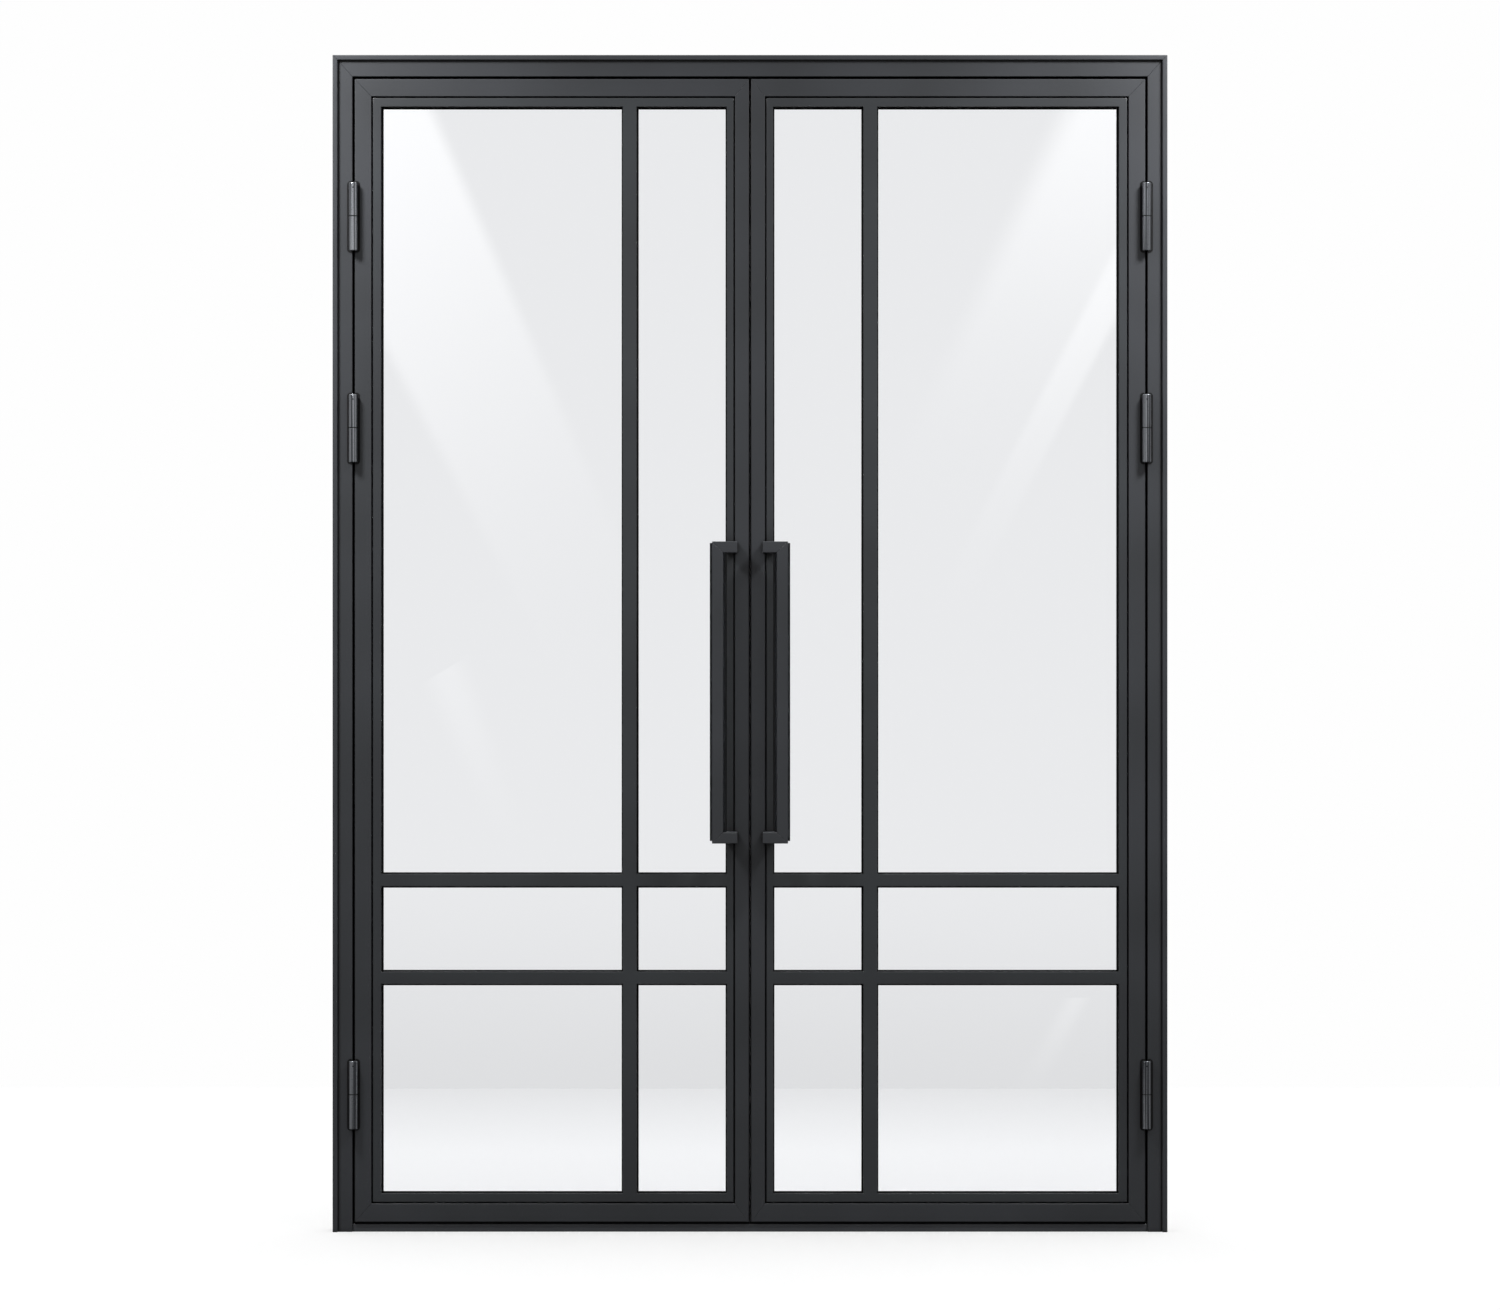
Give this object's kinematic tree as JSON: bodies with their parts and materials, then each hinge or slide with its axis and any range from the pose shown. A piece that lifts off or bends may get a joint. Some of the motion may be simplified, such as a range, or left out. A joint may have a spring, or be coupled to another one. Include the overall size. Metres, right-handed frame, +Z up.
{
  "type": "french doors",
  "caption": "Steel-framed double glazed doors with their frame: mirrored leaves with slim glazing bars, barrel hinges and C-shaped bar pulls.",
  "frame": {"origin": "on the floor, at the middle of the threshold's underside, on the plane halfway through the frame's depth", "axes": "+X across the opening to the right as seen from the front, -Y towards the front, +Z up"},
  "size_m": [1.5, 0.16, 2.115],
  "materials": {
    "powder_coated_steel": "satin anthracite powder coat",
    "gasket_rubber": "matt black",
    "zinc_plated_steel": "zinc plated",
    "clear_glass": "polished clear"
  },
  "bodies": {
    "frame": {"jamb_left": "powder_coated_steel", "jamb_right": "powder_coated_steel", "head": "powder_coated_steel", "threshold": "powder_coated_steel", "frame_seal": "gasket_rubber", "catch_magnets": "zinc_plated_steel", "hinge_pins": "zinc_plated_steel", "hinge_washers": "zinc_plated_steel", "left_bottom_hinge_frame_knuckle": "powder_coated_steel", "left_middle_hinge_frame_knuckle": "powder_coated_steel", "left_top_hinge_frame_knuckle": "powder_coated_steel", "right_bottom_hinge_frame_knuckle": "powder_coated_steel", "right_middle_hinge_frame_knuckle": "powder_coated_steel", "right_top_hinge_frame_knuckle": "powder_coated_steel"},
    "left_leaf": {"left_hinge_stile": "powder_coated_steel", "left_meeting_stile": "powder_coated_steel", "left_top_rail": "powder_coated_steel", "left_bottom_rail": "powder_coated_steel", "left_bead_hinge_side": "powder_coated_steel", "left_bead_meeting_side": "powder_coated_steel", "left_bead_top": "powder_coated_steel", "left_bead_bottom": "powder_coated_steel", "left_bar_vertical": "powder_coated_steel", "left_bar_upper": "powder_coated_steel", "left_bar_lower": "powder_coated_steel", "left_rear_beads": "powder_coated_steel", "left_rear_bars": "powder_coated_steel", "left_bead_screws": "zinc_plated_steel", "left_glass": "clear_glass", "left_leaf_gaskets": "gasket_rubber", "left_catch_plate": "zinc_plated_steel", "left_pull_front": "powder_coated_steel", "left_pull_rear": "powder_coated_steel", "left_pull_studs": "zinc_plated_steel", "left_bottom_hinge_leaf_knuckle": "powder_coated_steel", "left_middle_hinge_leaf_knuckle": "powder_coated_steel", "left_top_hinge_leaf_knuckle": "powder_coated_steel"},
    "right_leaf": {"right_hinge_stile": "powder_coated_steel", "right_meeting_stile": "powder_coated_steel", "right_top_rail": "powder_coated_steel", "right_bottom_rail": "powder_coated_steel", "right_bead_hinge_side": "powder_coated_steel", "right_bead_meeting_side": "powder_coated_steel", "right_bead_top": "powder_coated_steel", "right_bead_bottom": "powder_coated_steel", "right_bar_vertical": "powder_coated_steel", "right_bar_upper": "powder_coated_steel", "right_bar_lower": "powder_coated_steel", "right_rear_beads": "powder_coated_steel", "right_rear_bars": "powder_coated_steel", "right_bead_screws": "zinc_plated_steel", "right_glass": "clear_glass", "right_leaf_gaskets": "gasket_rubber", "right_catch_plate": "zinc_plated_steel", "right_pull_front": "powder_coated_steel", "right_pull_rear": "powder_coated_steel", "right_pull_studs": "zinc_plated_steel", "right_bottom_hinge_leaf_knuckle": "powder_coated_steel", "right_middle_hinge_leaf_knuckle": "powder_coated_steel", "right_top_hinge_leaf_knuckle": "powder_coated_steel"}
  },
  "joints": [
    {"name": "left_leaf_swing", "type": "hinge", "parent": "frame", "child": "left_leaf", "pos_m": [-0.7125, -0.0385, 1], "axis": [0, 0, -1], "range_deg": [0, 165]},
    {"name": "right_leaf_swing", "type": "hinge", "parent": "frame", "child": "right_leaf", "pos_m": [0.7125, -0.0385, 1], "axis": [0, 0, 1], "range_deg": [0, 165]}
  ]
}
